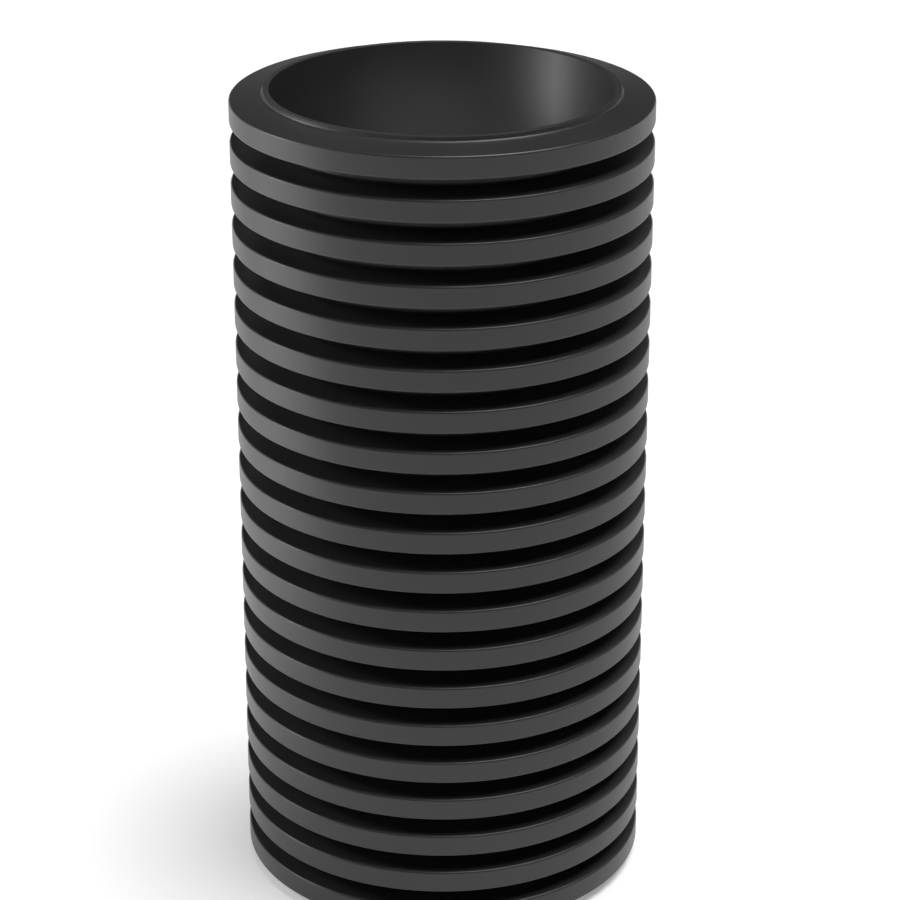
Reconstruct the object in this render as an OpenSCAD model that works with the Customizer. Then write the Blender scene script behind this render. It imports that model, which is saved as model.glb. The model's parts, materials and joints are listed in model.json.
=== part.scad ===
// Corrugated shaft (riser) of a plastic inspection chamber.
// One twin-wall tube: a smooth inner skin with hollow square ribs fused round it.
// It stands upright on its lower cut end, with Z along its axis. Millimetres.

/* [Overall size] */
// Diameter over the rib crests
outer_d = 500; // [440:1:700]
// Diameter of the smooth bore
bore_d = 406; // [300:1:420]
// Number of ribs along the shaft
rib_count = 20; // [2:1:120]

/* [Ribs] */
// Distance from one rib to the next
pitch = 50; // [40:0.5:90]
// Width of a rib at its crest
rib_w = 27; // [16:0.5:36]
// How much wider a rib is at its foot, on each side
foot_spread = 5; // [1:0.5:8]
// Rounding of the outer edges of a rib
crest_round = 3; // [0.5:0.5:6]
// Hollow rounding where a rib's side meets the tube
root_round = 4; // [1:0.5:8]

/* [Walls] */
// Wall of the tube between two ribs
tube_wall = 7; // [4.5:0.5:10]
// Inner skin that closes a rib's hollow towards the bore
liner_wall = 3; // [2:0.5:6]
// Side walls of a rib
flank_wall = 2.5; // [2:0.5:5]
// Outer wall of a rib
crest_wall = 3; // [2:0.5:6]
// Rounding of the corners of a rib's hollow
hollow_round = 2; // [0.5:0.5:4]

/* [Cut ends] */
// Plain tube that stands above the foot of the top rib
top_stub = 6; // [3:0.5:30]
// Plain tube that stands below the foot of the bottom rib
bottom_stub = 7; // [3:0.5:30]
// Rounding of the rims at both ends
rim_round = 0.5; // [0.5:0.5:2]

/* [Hidden] */

outer_r = outer_d / 2;
bore_r = bore_d / 2;
tube_r = bore_r + tube_wall;
foot_w = rib_w + 2 * foot_spread;
length = bottom_stub + (rib_count - 1) * pitch + foot_w + top_stub;

// Slope of a rib's sides, and the length that a blunt corner with a rounding of 1 takes from
// each of its edges. A sharp corner of the same slope takes one divided by that
slope = atan2(foot_spread, outer_r - tube_r);
blunt = tan(45 - slope / 2);

// The hollow rounding fits the gap between two ribs and both stubs
root_room = min((pitch - foot_w) / 2, top_stub - rim_round, bottom_stub - rim_round);
root_r = min(root_round, root_room / blunt);
arc_fn = 64;
// How far a sloped side runs into the discs that round its corners, so that they join cleanly
weld = 0.002;

// Height of the middle of rib i
function rib_z(i) = bottom_stub + foot_w / 2 + i * pitch;

// Half the width of a rib at radius r, as if its corners were not rounded
function half_w(r) = rib_w / 2 + (outer_r - r) * tan(slope);

module disc(r, z, round) {
    translate([r, z])
        circle(r = round, $fn = arc_fn);
}

// Half section of the plain tube, with its rims rounded
module tube_section() {
    for (inset = [[rim_round, 0], [0, rim_round]])
        translate([bore_r + inset.x, inset.y])
            square([tube_wall - 2 * inset.x, length - 2 * inset.y]);
    for (r = [bore_r + rim_round, tube_r - rim_round], z = [rim_round, length - rim_round])
        disc(r, z, rim_round);
}

// Half section of a rib's upper half, from the middle of the tube's wall out to the crest
module half_rib() {
    wall_r = tube_r - tube_wall / 2;
    crest_z = half_w(outer_r) - crest_round * blunt;
    crest_touch = outer_r - crest_round * blunt * cos(slope);
    root_z = half_w(tube_r) + root_r * blunt;
    root_touch = tube_r + root_r * blunt * cos(slope);
    difference() {
        polygon([
            [wall_r, 0],
            [outer_r, 0],
            [outer_r, crest_z],
            [crest_touch, half_w(crest_touch) - weld],
            [root_touch, half_w(root_touch) + weld],
            [tube_r + root_r, root_z],
            [wall_r, root_z]
        ]);
        disc(tube_r + root_r, root_z, root_r);
    }
    disc(outer_r - crest_round, crest_z, crest_round);
}

// Half section of the upper half of the sealed hollow inside a rib
module half_hollow() {
    in_r = bore_r + liner_wall;
    out_r = outer_r - crest_wall;
    inset = flank_wall / cos(slope);
    in_z = half_w(in_r) - inset - hollow_round / blunt;
    in_touch = in_r + hollow_round / blunt * cos(slope);
    out_z = half_w(out_r) - inset - hollow_round * blunt;
    out_touch = out_r - hollow_round * blunt * cos(slope);
    polygon([
        [in_r, 0],
        [out_r, 0],
        [out_r, out_z],
        [out_touch, half_w(out_touch) - inset - weld],
        [in_touch, half_w(in_touch) - inset - weld],
        [in_r, in_z]
    ]);
    disc(in_r + hollow_round, in_z, hollow_round);
    disc(out_r - hollow_round, out_z, hollow_round);
}

// The child above and below the middle of every rib
module at_ribs() {
    for (i = [0:rib_count - 1], side = [0, 1])
        translate([0, rib_z(i)])
            mirror([0, side])
                children();
}

// The whole shaft, turned round its axis in one piece
module shaft_pipe() {
    color("#323233")
        rotate_extrude($fn = 180)
            difference() {
                union() {
                    tube_section();
                    at_ribs() half_rib();
                }
                at_ribs() half_hollow();
            }
}

shaft_pipe();
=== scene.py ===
# %% [markdown]
# # A corrugated chamber shaft
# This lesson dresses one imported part: the upright plastic shaft of a drain inspection chamber.
# The shaft is a single turned shape, so nearly all of its look comes from three things: an exact
# outline with softly rounded edges, a near-black satin plastic, and large soft lamps that draw
# long reflections round the ribs. The steps below make the camera, the plastic and the shape,
# and then the floor, the lamps and the world.

# %% Load the fixed frame
import json
import math
import bpy
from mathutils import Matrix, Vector


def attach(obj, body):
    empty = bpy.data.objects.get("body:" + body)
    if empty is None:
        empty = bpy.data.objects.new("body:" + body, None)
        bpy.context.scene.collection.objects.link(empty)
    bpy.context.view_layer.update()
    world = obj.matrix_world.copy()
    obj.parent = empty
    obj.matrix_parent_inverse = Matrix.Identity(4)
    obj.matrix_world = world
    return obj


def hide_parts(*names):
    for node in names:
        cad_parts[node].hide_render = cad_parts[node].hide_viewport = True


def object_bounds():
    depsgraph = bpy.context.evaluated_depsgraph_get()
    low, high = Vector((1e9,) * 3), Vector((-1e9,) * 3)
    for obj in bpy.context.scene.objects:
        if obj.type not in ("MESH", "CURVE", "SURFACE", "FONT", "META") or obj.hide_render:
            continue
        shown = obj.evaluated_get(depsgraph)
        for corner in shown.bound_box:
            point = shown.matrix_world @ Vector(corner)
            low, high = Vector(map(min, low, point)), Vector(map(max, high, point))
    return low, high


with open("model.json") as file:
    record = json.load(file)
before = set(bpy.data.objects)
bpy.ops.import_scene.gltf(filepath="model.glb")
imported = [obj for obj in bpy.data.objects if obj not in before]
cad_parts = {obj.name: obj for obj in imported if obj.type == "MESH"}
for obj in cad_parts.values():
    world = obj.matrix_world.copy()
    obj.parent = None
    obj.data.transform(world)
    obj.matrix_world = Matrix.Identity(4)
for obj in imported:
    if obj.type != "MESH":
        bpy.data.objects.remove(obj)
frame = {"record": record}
cad_low, cad_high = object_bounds()
mounts = {mount["name"]: mount["dims"] for mount in frame["record"]["mounts"]}
print("CAD box", [round(v, 4) for v in cad_low], [round(v, 4) for v in cad_high])

# %% [markdown]
# ## The shaft's real sizes
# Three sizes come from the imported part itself: the length, the radius over the ribs and the
# bore. The others belong to the section and are the same as in the construction, in metres.
# The last two set how many faces go across each rounding and round the axis. All are listed by
# name, because each becomes an input of the tree that shapes the shaft.

# %% Sizes of the section
MM = 0.001
SECTION = {
    "Length": cad_high.z,
    "Outer Radius": mounts["socket_fit"]["r_mm"] * MM,
    "Bore Radius": mounts["bore"]["r_mm"] * MM,
    "Tube Wall": 7 * MM,
    "Pitch": 50 * MM,
    "Rib Width": 27 * MM,
    "Foot Spread": 5 * MM,
    "Rib Count": 20,
    "Top Stub": 6 * MM,
    "Crest Round": 3 * MM,
    "Root Round": 4 * MM,
    "Rim Round": 0.5 * MM,
    "Round Steps": 5,
    "Turn Steps": 128,
}
LENGTH = SECTION["Length"]
OUTER_R = SECTION["Outer Radius"]
BORE_R = SECTION["Bore Radius"]
print("section", {name: round(value, 4) for name, value in SECTION.items()})

# %% [markdown]
# ## Camera
# The shaft is seen from above through a long lens, so its sides stay almost parallel. The camera
# is set first, so that every later step is judged from this place. The Standard view transform
# keeps each colour as it is written.

# %% Place the camera
CAMERA_DISTANCE = 3.2634
CAMERA_ABOVE_RIM = 0.8982
CAMERA_PITCH = math.radians(22.61)
CAMERA_YAW = math.radians(0.158)
LENS_MM = 115
SENSOR_MM = 36

camera = bpy.data.objects.new("camera", bpy.data.cameras.new("camera"))
camera.data.lens = LENS_MM
camera.data.sensor_width = SENSOR_MM
camera.location = (0, -CAMERA_DISTANCE, LENGTH + CAMERA_ABOVE_RIM)
camera.rotation_euler = (math.pi / 2 - CAMERA_PITCH, 0, -CAMERA_YAW)
bpy.context.scene.collection.objects.link(camera)
bpy.context.scene.camera = camera
bpy.context.scene.view_settings.view_transform = "Standard"
print("camera at", [round(v, 3) for v in camera.location], "lens", LENS_MM, "mm")

# %% [markdown]
# ## Two helpers
# Geometry Nodes, materials and the world are all trees of nodes. One function adds a node to any
# of them, sets its settings and fills its inputs with values or with links from other nodes.
# Another turns a colour as it is written on screen into the linear light that shaders need.

# %% Add one node
def add_node(tree, kind, inputs=None, **settings):
    """An input is a value, a socket, or a node, which stands for its first output."""
    node = tree.nodes.new(kind)
    for name, value in settings.items():
        setattr(node, name, value)
    for name, value in (inputs or {}).items():
        if isinstance(value, bpy.types.Node):
            value = value.outputs[0]
        if isinstance(value, bpy.types.NodeSocket):
            tree.links.new(value, node.inputs[name])
        else:
            node.inputs[name].default_value = value
    return node


MATH = "ShaderNodeMath"
NOISE = "ShaderNodeTexNoise"
REMAP = "ShaderNodeMapRange"
MIX = "ShaderNodeMix"
SWITCH = "GeometryNodeSwitch"
print("one helper for every kind of node")

# %% From a written colour to linear light
def linear(hex_colour):
    channels = [int(hex_colour[i:i + 2], 16) / 255 for i in (1, 3, 5)]
    return [c / 12.92 if c <= 0.04045 else ((c + 0.055) / 1.055) ** 2.4 for c in channels] + [1]


CARBON_BLACK = "#323233"
WHITE = "#ffffff"
print("carbon black is", [round(c, 4) for c in linear(CARBON_BLACK)])

# %% [markdown]
# ## Black polypropylene
# The shaft is one plastic, coloured with carbon black, but it has three surfaces. Its ribs are
# blown into steel moulds, which leaves a satin skin with a very fine grain. Its bore is wiped
# smooth over a plug while it is soft, which draws faint streaks along it. Its two rims are sawn.
# A texture could be painted on an unwrapped mesh, but a turned part needs none: in Object
# coordinates the distance from the axis tells the bore, and the height tells the rims and ribs.

# %% Sizes of the plastic's surfaces
GRAIN = 1.5 * MM       # blasted steel leaves 0.3 mm, drawn coarser, yet too low to show from afar
HANDLING = 70 * MM     # patches where the skin has been rubbed a little
STREAK = 5 * MM        # spacing of the streaks that the plug draws
STREAK_LENGTH = 40     # how many times longer than wide a streak or a saw mark is
SAW_MARK = 1.2 * MM    # spacing of the marks of the saw's teeth
SAW_DEPTH = 3.0        # how many times deeper than the grain they are
RELIEF = 0.01 * MM     # how high the grain and the streaks stand at most
ON_RIM = 0.1 * MM      # what lies nearer than this to a rim's plane is the rim
print("grain", GRAIN, "streaks", STREAK, "saw marks", SAW_MARK, "metres apart")

# %% The material and its place on the part
POLYPROPYLENE_IOR = 1.49

plastic = bpy.data.materials.new("black_polypropylene_moulded")
plastic.use_nodes = True
skin = plastic.node_tree
shader = skin.nodes["Principled BSDF"]
shader.inputs["IOR"].default_value = POLYPROPYLENE_IOR
place = add_node(skin, "ShaderNodeTexCoord").outputs["Object"]
x, y, z = add_node(skin, "ShaderNodeSeparateXYZ", {"Vector": place}).outputs
flat = add_node(skin, "ShaderNodeCombineXYZ", {"X": x, "Y": y})
radius = add_node(skin, "ShaderNodeVectorMath", {0: flat}, operation="LENGTH").outputs["Value"]
print("material", plastic.name)

# %% Where the bore and the rims are
bore_edge = BORE_R + SECTION["Rim Round"]
on_bore = add_node(skin, MATH, {0: radius, 1: bore_edge}, operation="LESS_THAN")
from_middle = add_node(skin, MATH, {0: z, 1: LENGTH / 2}, operation="SUBTRACT")
to_middle = add_node(skin, MATH, {0: from_middle}, operation="ABSOLUTE")
on_rim = add_node(skin, MATH, {0: to_middle, 1: LENGTH / 2 - ON_RIM}, operation="GREATER_THAN")
print("bore inside", round(bore_edge, 4), "rims at 0 and", round(LENGTH, 4))

# %% [markdown]
# The crest edges are what hands, straps and trench walls touch first. They are found by two
# distances, from the middle of the nearest rib and from the axis. A Ping-Pong node folds the
# height into the first of them, whatever the number of ribs.

# %% Where the crest edges are rubbed
RUB_STARTS = 0.4       # where the handling noise is below this, an edge is as moulded
RUB_FULL = 0.6         # and above this it is fully rubbed

handling = add_node(skin, NOISE, {"Vector": place, "Scale": 1 / HANDLING, "Detail": 4.0})
crest_round = SECTION["Crest Round"]
half_crest = SECTION["Rib Width"] / 2
top_rib = LENGTH - SECTION["Top Stub"] - SECTION["Foot Spread"] - half_crest
from_top_rib = add_node(skin, MATH, {0: z, 1: top_rib}, operation="SUBTRACT")
to_rib = add_node(skin, MATH, {0: from_top_rib, 1: SECTION["Pitch"] / 2}, operation="PINGPONG")
near_side = add_node(skin, REMAP, {"Value": to_rib, "From Min": half_crest - crest_round,
                                   "From Max": half_crest})
near_crest = add_node(skin, REMAP, {"Value": radius, "From Min": OUTER_R - crest_round,
                                    "From Max": OUTER_R})
edge = add_node(skin, MATH, {0: near_side, 1: near_crest}, operation="MULTIPLY")
patches = add_node(skin, REMAP, {"Value": handling, "From Min": RUB_STARTS, "From Max": RUB_FULL})
rubbed = add_node(skin, MATH, {0: edge, 1: patches}, operation="MULTIPLY")
print("top rib's middle at", round(top_rib, 4))

# %% Colour: carbon black, a little uneven, and a shade paler where it is rubbed
UNEVEN = 0.08          # how far the shade strays either way at most, as a share of it
RUBBED_PALER = 0.3     # how much a fully rubbed edge adds to it

shade = add_node(skin, REMAP, {"Value": handling, "To Min": 1 - UNEVEN, "To Max": 1 + UNEVEN})
worn_shade = add_node(skin, MATH, {0: rubbed, 1: RUBBED_PALER, 2: shade},
                      operation="MULTIPLY_ADD")
black = add_node(skin, "ShaderNodeHueSaturation",
                 {"Color": linear(CARBON_BLACK), "Value": worn_shade})
skin.links.new(black.outputs["Color"], shader.inputs["Base Color"])
print("colour", CARBON_BLACK, "varies by", UNEVEN)

# %% Gloss: the skin is satin, its rubbed edges a little shinier
SKIN_DULL = (0.34, 0.44)   # roughness where the noise is lowest and highest
BORE_DULL = (0.36, 0.44)
RIM_DULL = 0.42
RUBBED_SHINIER = 0.15      # how much roughness a fully rubbed edge loses

along = add_node(skin, "ShaderNodeMapping", {"Vector": place, "Scale": (1, 1, 1 / STREAK_LENGTH)})
streaks = add_node(skin, NOISE, {"Vector": along, "Scale": 1 / STREAK, "Detail": 2.0})
skin_dull = add_node(skin, REMAP, {"Value": handling, "To Min": SKIN_DULL[0],
                                   "To Max": SKIN_DULL[1]})
edge_dull = add_node(skin, MATH, {0: rubbed, 1: -RUBBED_SHINIER, 2: skin_dull},
                     operation="MULTIPLY_ADD")
bore_dull = add_node(skin, REMAP, {"Value": streaks, "To Min": BORE_DULL[0],
                                   "To Max": BORE_DULL[1]})
formed_dull = add_node(skin, MIX, {"Factor": on_bore, "A": edge_dull, "B": bore_dull})
dull = add_node(skin, MIX, {"Factor": on_rim, "A": formed_dull, "B": RIM_DULL})
skin.links.new(dull.outputs["Result"], shader.inputs["Roughness"])
print("roughness: skin", SKIN_DULL, "bore", BORE_DULL, "sawn rims", RIM_DULL)

# %% Relief: grain on the ribs, streaks in the bore, saw marks on the rims
grain = add_node(skin, NOISE, {"Vector": place, "Scale": 1 / GRAIN, "Detail": 1.0})
across = add_node(skin, "ShaderNodeMapping", {"Vector": place, "Scale": (1 / STREAK_LENGTH, 1, 1)})
teeth = add_node(skin, NOISE, {"Vector": across, "Scale": 1 / SAW_MARK, "Detail": 1.0})
saw_marks = add_node(skin, MATH, {0: teeth, 1: SAW_DEPTH}, operation="MULTIPLY")
formed_relief = add_node(skin, MIX, {"Factor": on_bore, "A": grain, "B": streaks})
relief = add_node(skin, MIX, {"Factor": on_rim, "A": formed_relief, "B": saw_marks})
bump = add_node(skin, "ShaderNodeBump", {"Height": relief, "Distance": RELIEF})
skin.links.new(bump.outputs["Normal"], shader.inputs["Normal"])
print("plastic has", len(skin.nodes), "nodes")

# %% [markdown]
# ## The shaft's outline as a rule
# Going down the outside, the outline turns four corners at every rib and then repeats one pitch
# lower. The two cut ends add four more corners, two to each rim. Because it follows a rule,
# Geometry Nodes can place the corners from their numbers. A Fillet Curve node rounds each corner
# by its own radius, and Curve to Mesh carries the closed outline round a circle, as a lathe does.
# Twenty separate rings would leave seams between them. One turned outline has none.

# %% Start the tree, with a named input for each size
turning = bpy.data.node_groups.new("turned_shaft", "GeometryNodeTree")
turning.interface.new_socket("Geometry", in_out="OUTPUT", socket_type="NodeSocketGeometry")
for name, value in SECTION.items():
    kind = "NodeSocketInt" if isinstance(value, int) else "NodeSocketFloat"
    turning.interface.new_socket(name, in_out="INPUT", socket_type=kind)
size = add_node(turning, "NodeGroupInput").outputs
print("inputs", [socket.name for socket in size if socket.name])

# %% Number the corners: which rib each is on, and which of its four corners it is
CORNERS = 4            # corners of each rib, and of the two rims together
HALFWAY = 1.5          # between corners 1 and 2
REACH = 0.75           # takes in corners 1 and 2 from there, but not 0 and 3

index = add_node(turning, "GeometryNodeInputIndex")
ribs_before = add_node(turning, MATH, {0: index, 1: CORNERS}, operation="DIVIDE")
rib = add_node(turning, MATH, {0: ribs_before}, operation="FLOOR")
corner = add_node(turning, MATH, {0: index, 1: CORNERS}, operation="MODULO")
# The corners after the last rib's are the rims'
on_rib = add_node(turning, MATH, {0: rib, 1: size["Rib Count"]}, operation="LESS_THAN")
last_two = add_node(turning, MATH, {0: corner, 1: HALFWAY}, operation="GREATER_THAN")
middle_two = add_node(turning, MATH, {0: corner, 1: HALFWAY, 2: REACH}, operation="COMPARE")
print("corners", CORNERS * SECTION["Rib Count"] + CORNERS)

# %% Radius: the tube, then out to the crest of a rib or in to the bore, and back to the tube
tube_r = add_node(turning, MATH, {0: size["Bore Radius"], 1: size["Tube Wall"]}, operation="ADD")
far_r = add_node(turning, SWITCH, {"Switch": on_rib, "False": size["Bore Radius"],
                                   "True": size["Outer Radius"]}, input_type="FLOAT")
corner_r = add_node(turning, SWITCH, {"Switch": middle_two, "False": tube_r, "True": far_r},
                    input_type="FLOAT")
print("tube's radius", round(BORE_R + SECTION["Tube Wall"], 4))

# %% [markdown]
# A rib's foot is wider than its crest, because its sides have draft: the mould has to let go of
# it. Depths are counted down from the upper rim. After the last rib they go along the bottom rim
# and back up the bore.

# %% Depth of each corner
half_top = add_node(turning, MATH, {0: size["Rib Width"], 1: 2}, operation="DIVIDE")
half_foot = add_node(turning, MATH, {0: half_top, 1: size["Foot Spread"]}, operation="ADD")
first = add_node(turning, MATH, {0: half_foot, 1: size["Top Stub"]}, operation="ADD")
middle = add_node(turning, MATH, {0: rib, 1: size["Pitch"], 2: first}, operation="MULTIPLY_ADD")
half = add_node(turning, SWITCH, {"Switch": middle_two, "False": half_foot, "True": half_top},
                input_type="FLOAT")
above = add_node(turning, MATH, {0: middle, 1: half}, operation="SUBTRACT")
below = add_node(turning, MATH, {0: middle, 1: half}, operation="ADD")
first_depth = add_node(turning, SWITCH, {"Switch": on_rib, "False": size["Length"],
                                         "True": above}, input_type="FLOAT")
last_depth = add_node(turning, SWITCH, {"Switch": on_rib, "False": 0.0, "True": below},
                      input_type="FLOAT")
depth = add_node(turning, SWITCH, {"Switch": last_two, "False": first_depth, "True": last_depth},
                 input_type="FLOAT")
print("nodes so far", len(turning.nodes))

# %% Rounding of each corner
rib_round = add_node(turning, SWITCH, {"Switch": middle_two, "False": size["Root Round"],
                                       "True": size["Crest Round"]}, input_type="FLOAT")
rounding = add_node(turning, SWITCH, {"Switch": on_rib, "False": size["Rim Round"],
                                      "True": rib_round}, input_type="FLOAT")
print("roundings", [SECTION[name] for name in ("Crest Round", "Root Round", "Rim Round")])

# %% The closed outline
count = add_node(turning, MATH, {0: size["Rib Count"], 1: CORNERS, 2: CORNERS},
                 operation="MULTIPLY_ADD")
line = add_node(turning, "GeometryNodeMeshLine", {"Count": count})
corners = add_node(turning, "GeometryNodeMeshToCurve", {"Mesh": line})
# The circle that carries the outline runs inside the wall, and radii are counted from it
from_tube = add_node(turning, MATH, {0: corner_r, 1: tube_r}, operation="SUBTRACT")
point = add_node(turning, "ShaderNodeCombineXYZ", {"X": from_tube, "Y": depth})
placed = add_node(turning, "GeometryNodeSetPosition", {"Geometry": corners, "Position": point})
closed = add_node(turning, "GeometryNodeSetSplineCyclic", {"Geometry": placed, "Cyclic": True})
outline = add_node(turning, "GeometryNodeFilletCurve",
                   {"Curve": closed, "Count": size["Round Steps"], "Radius": rounding},
                   mode="POLY")
print("nodes so far", len(turning.nodes))

# %% Turn the outline round the axis
circle = add_node(turning, "GeometryNodeCurvePrimitiveCircle",
                  {"Resolution": size["Turn Steps"], "Radius": tube_r})
turned = add_node(turning, "GeometryNodeCurveToMesh", {"Curve": circle, "Profile Curve": outline})
# Curve to Mesh hangs the outline below the circle, so the shaft is lifted by its length
lift = add_node(turning, "ShaderNodeCombineXYZ", {"Z": size["Length"]})
lifted = add_node(turning, "GeometryNodeTransform", {"Geometry": turned, "Translation": lift})
smooth = add_node(turning, "GeometryNodeSetShadeSmooth", {"Geometry": lifted})
real = add_node(turning, "GeometryNodeRealizeInstances", {"Geometry": smooth})
finished = add_node(turning, "GeometryNodeSetMaterial", {"Geometry": real, "Material": plastic})
add_node(turning, "NodeGroupOutput", {"Geometry": finished})
print("shape has", len(turning.nodes), "nodes")

# %% [markdown]
# ## From tree to mesh
# A modifier runs the tree on an empty mesh. A second one weights the normals by the size of the
# faces, so that the flat crests and sides shade flat and only the small roundings bend the light.
# The result is copied to a plain mesh, and the holder with its modifiers is thrown away, so that
# nothing is left to run later.

# %% Run a tree and keep its result as a plain mesh
FLAT_FACES_WIN = 100   # the most that the weight can be


def run_tree(name, tree, values):
    holder = bpy.data.objects.new(name + "_holder", bpy.data.meshes.new(name + "_empty"))
    bpy.context.scene.collection.objects.link(holder)
    modifier = holder.modifiers.new("shape", "NODES")
    modifier.node_group = tree
    for item in tree.interface.items_tree:
        if item.in_out == "INPUT":
            modifier[item.identifier] = values[item.name]
    flats = holder.modifiers.new("flat faces shade flat", "WEIGHTED_NORMAL")
    flats.mode = "FACE_AREA"
    flats.weight = FLAT_FACES_WIN
    evaluated = holder.evaluated_get(bpy.context.evaluated_depsgraph_get())
    mesh = bpy.data.meshes.new_from_object(evaluated)
    mesh.name = name
    bpy.data.objects.remove(holder)
    piece = bpy.data.objects.new(name, mesh)
    bpy.context.scene.collection.objects.link(piece)
    return piece


shaft = run_tree("corrugated_shaft", turning, SECTION)

# %% [markdown]
# ## Floor
# A wide sheet of white paper, lit by the same lamps as the shaft. It glows a little for the
# camera, in reflections and through glass, so that it looks white there and still takes the
# shaft's shadow. Diffuse rays don't see the glow, so it doesn't light the shaft's own colour.

# %% Tell the rays that show a surface from those that only gather its light
def shown_rays(tree):
    rays = add_node(tree, "ShaderNodeLightPath").outputs
    shown = rays["Is Camera Ray"]
    for kind in ("Is Glossy Ray", "Is Transmission Ray"):
        shown = add_node(tree, MATH, {0: shown, 1: rays[kind]}, operation="MAXIMUM")
    return shown


print("shown to the camera, in reflections and through glass")

# %% Lay the floor
FLOOR_HALF = 20
FLOOR_GLOW = 0.3
PAPER = "#f4f4f4"

paper = bpy.data.materials.new("matt_white_paper")
paper.use_nodes = True
sheet = paper.node_tree
pulp = sheet.nodes["Principled BSDF"]
pulp.inputs["Base Color"].default_value = linear(PAPER)
pulp.inputs["Roughness"].default_value = 1.0
pulp.inputs["Specular IOR Level"].default_value = 0.0
strength = add_node(sheet, MATH, {0: shown_rays(sheet), 1: FLOOR_GLOW}, operation="MULTIPLY")
glow = add_node(sheet, "ShaderNodeEmission", {"Strength": strength})
lit = add_node(sheet, "ShaderNodeAddShader", {0: pulp, 1: glow})
sheet.links.new(lit.outputs[0], sheet.nodes["Material Output"].inputs["Surface"])

floor_mesh = bpy.data.meshes.new("floor")
ends = ((-1, -1), (1, -1), (1, 1), (-1, 1))
floor_mesh.from_pydata([(FLOOR_HALF * i, FLOOR_HALF * j, 0) for i, j in ends], [], [(0, 1, 2, 3)])
floor_mesh.materials.append(paper)
floor = bpy.data.objects.new("floor", floor_mesh)
bpy.context.scene.collection.objects.link(floor)
print("floor", 2 * FLOOR_HALF, "m across")

# %% [markdown]
# ## Lamps
# Black plastic shows its lamps more than its colour, so each lamp has one task. A wide overhead
# light draws the bright line along every crest edge. Two soft boxes on the left draw the upright
# highlight down the ribs. A narrow strip that hangs in the bore draws its streak, and a soft spot
# from the front brings out the wall behind it. The helpers take a brightness of 1 for a lamp that
# shows white paper as white when it fills the view, or lights it squarely.

# %% Aim a lamp
def aim(lamp, location, target):
    lamp.location = location
    lamp.rotation_euler = (Vector(target) - Vector(location)).to_track_quat("-Z", "Y").to_euler()
    lamp.visible_camera = False
    bpy.context.scene.collection.objects.link(lamp)
    print("lamp", lamp.name, round(lamp.data.energy, 2))


# %% The overhead light has a direction and a spread, and its place only sets the direction
def overhead_light(name, location, spread, brightness):
    data = bpy.data.lights.new(name, "SUN")
    data.energy = brightness * math.pi
    data.angle = spread
    aim(bpy.data.objects.new(name, data), location, target=(0, 0, 0))


overhead_light("overhead_light", location=(0.28, 0, 1), spread=math.radians(40), brightness=0.83)

# %% Soft boxes and the strip in the bore
def softbox(name, location, target, width, height, brightness, spread=math.pi):
    data = bpy.data.lights.new(name, "AREA")
    data.shape = "RECTANGLE"
    data.size = width
    data.size_y = height
    data.spread = spread
    data.energy = brightness * math.pi * width * height
    aim(bpy.data.objects.new(name, data), location, target)


softbox("side_softbox", location=(-1.3, -0.08, 0.8), target=(0, -0.08, 0.8),
        width=1.0, height=1.6, brightness=1.25)
softbox("far_softbox", location=(-2.2, 0.08, 1.45), target=(0, 0, 1.0),
        width=0.5, height=0.6, brightness=12)
STRIP_HEIGHT = LENGTH - 0.1
softbox("bore_strip", location=(-0.138, 0.113, STRIP_HEIGHT), target=(0.14, 0.16, STRIP_HEIGHT),
        width=0.04, height=0.14, brightness=5.6, spread=math.radians(110))

# %% A soft spot on the bore's far wall
SPOT_RADIUS = 0.05


def soft_spot(name, location, target, width, brightness):
    data = bpy.data.lights.new(name, "SPOT")
    distance = (Vector(target) - Vector(location)).length
    data.spot_size = 2 * math.atan(width / 2 / distance)
    data.spot_blend = 1.0
    data.shadow_soft_size = SPOT_RADIUS
    data.energy = brightness * 4 * (math.pi * distance) ** 2
    aim(bpy.data.objects.new(name, data), location, target)


soft_spot("bore_spot", location=(-0.3, -1.6, 2.7), target=(-0.04, 0.16, LENGTH - 0.17),
          width=0.37, brightness=1.0)

# %% [markdown]
# ## World
# A low white backdrop stands round the floor, so that no horizon shows. The camera, reflections
# and glass all see it. Above it the studio is dark, as with a black ceiling: a white one would be
# mirrored in the flat tops of the ribs and of the rim, and turn the black plastic grey.

# %% Build the world
STUDIO_DARK = 0.02
BACKDROP_TOP = math.radians(4)   # above the horizon

world = bpy.data.worlds.new("studio")
bpy.context.scene.world = world
world.use_nodes = True
studio = world.node_tree
studio.nodes.clear()
# In a world, Generated is the direction that is looked in
direction = add_node(studio, "ShaderNodeTexCoord").outputs["Generated"]
upward = add_node(studio, "ShaderNodeSeparateXYZ", {"Vector": direction}).outputs["Z"]
on_backdrop = add_node(studio, MATH, {0: upward, 1: math.sin(BACKDROP_TOP)},
                       operation="LESS_THAN")
whiteness = add_node(studio, MATH, {0: shown_rays(studio), 1: on_backdrop}, operation="MULTIPLY")
dark = add_node(studio, "ShaderNodeBackground", {"Color": linear(WHITE), "Strength": STUDIO_DARK})
bright = add_node(studio, "ShaderNodeBackground", {"Color": linear(WHITE), "Strength": 1.0})
walls = add_node(studio, "ShaderNodeMixShader", {0: whiteness, 1: dark, 2: bright})
add_node(studio, "ShaderNodeOutputWorld", {"Surface": walls})
print("world", world.name, "white up to", round(math.degrees(BACKDROP_TOP), 1), "degrees")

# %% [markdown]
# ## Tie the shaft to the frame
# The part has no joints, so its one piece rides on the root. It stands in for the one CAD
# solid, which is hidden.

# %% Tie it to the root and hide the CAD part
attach(shaft, "root")
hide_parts("shaft_pipe")
